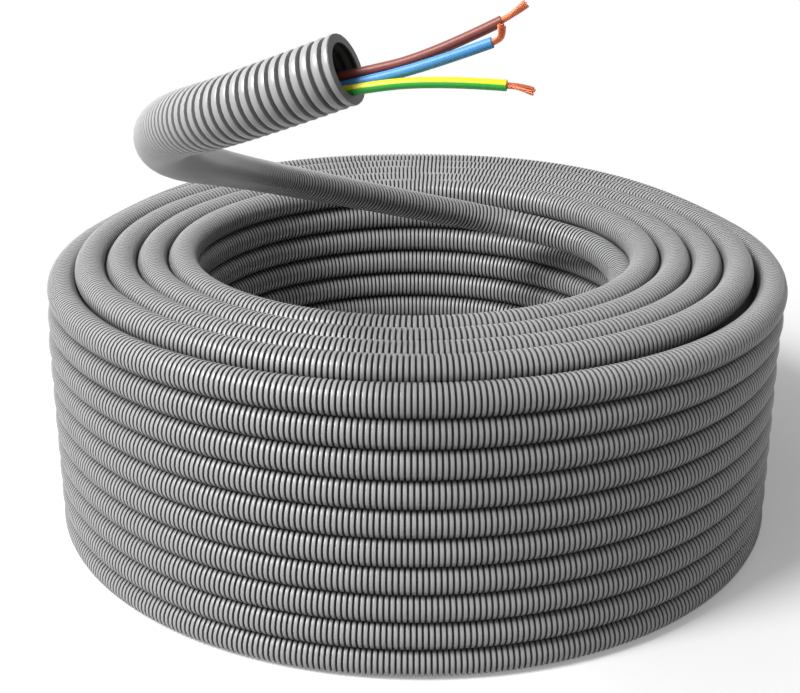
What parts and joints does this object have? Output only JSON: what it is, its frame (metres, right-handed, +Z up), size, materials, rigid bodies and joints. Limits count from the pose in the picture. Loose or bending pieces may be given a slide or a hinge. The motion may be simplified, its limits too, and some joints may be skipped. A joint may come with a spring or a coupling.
{
  "type": "corrugated conduit coil",
  "caption": "Coil of grey corrugated plastic conduit with a raised free end, its mouth open and showing brown, blue and yellow-green stripped wires.",
  "frame": {"origin": "the coil's axis on the floor that it lies on", "axes": "+Z up along the coil's axis; the raised free end reaches forward along -Y and its mouth faces +X"},
  "size_m": [0.4959, 0.8237, 0.426],
  "materials": {
    "conduit_plastic": "matte",
    "brown_insulation": "satin",
    "blue_insulation": "satin",
    "yellow_green_insulation": "satin",
    "copper": "bare copper strands"
  },
  "bodies": {
    "root": {"conduit": "conduit_plastic", "brown_wire_insulation": "brown_insulation", "brown_wire_copper": "copper", "blue_wire_insulation": "blue_insulation", "blue_wire_copper": "copper", "yellow_green_wire_insulation": "yellow_green_insulation", "yellow_green_wire_copper": "copper"}
  },
  "joints": []
}
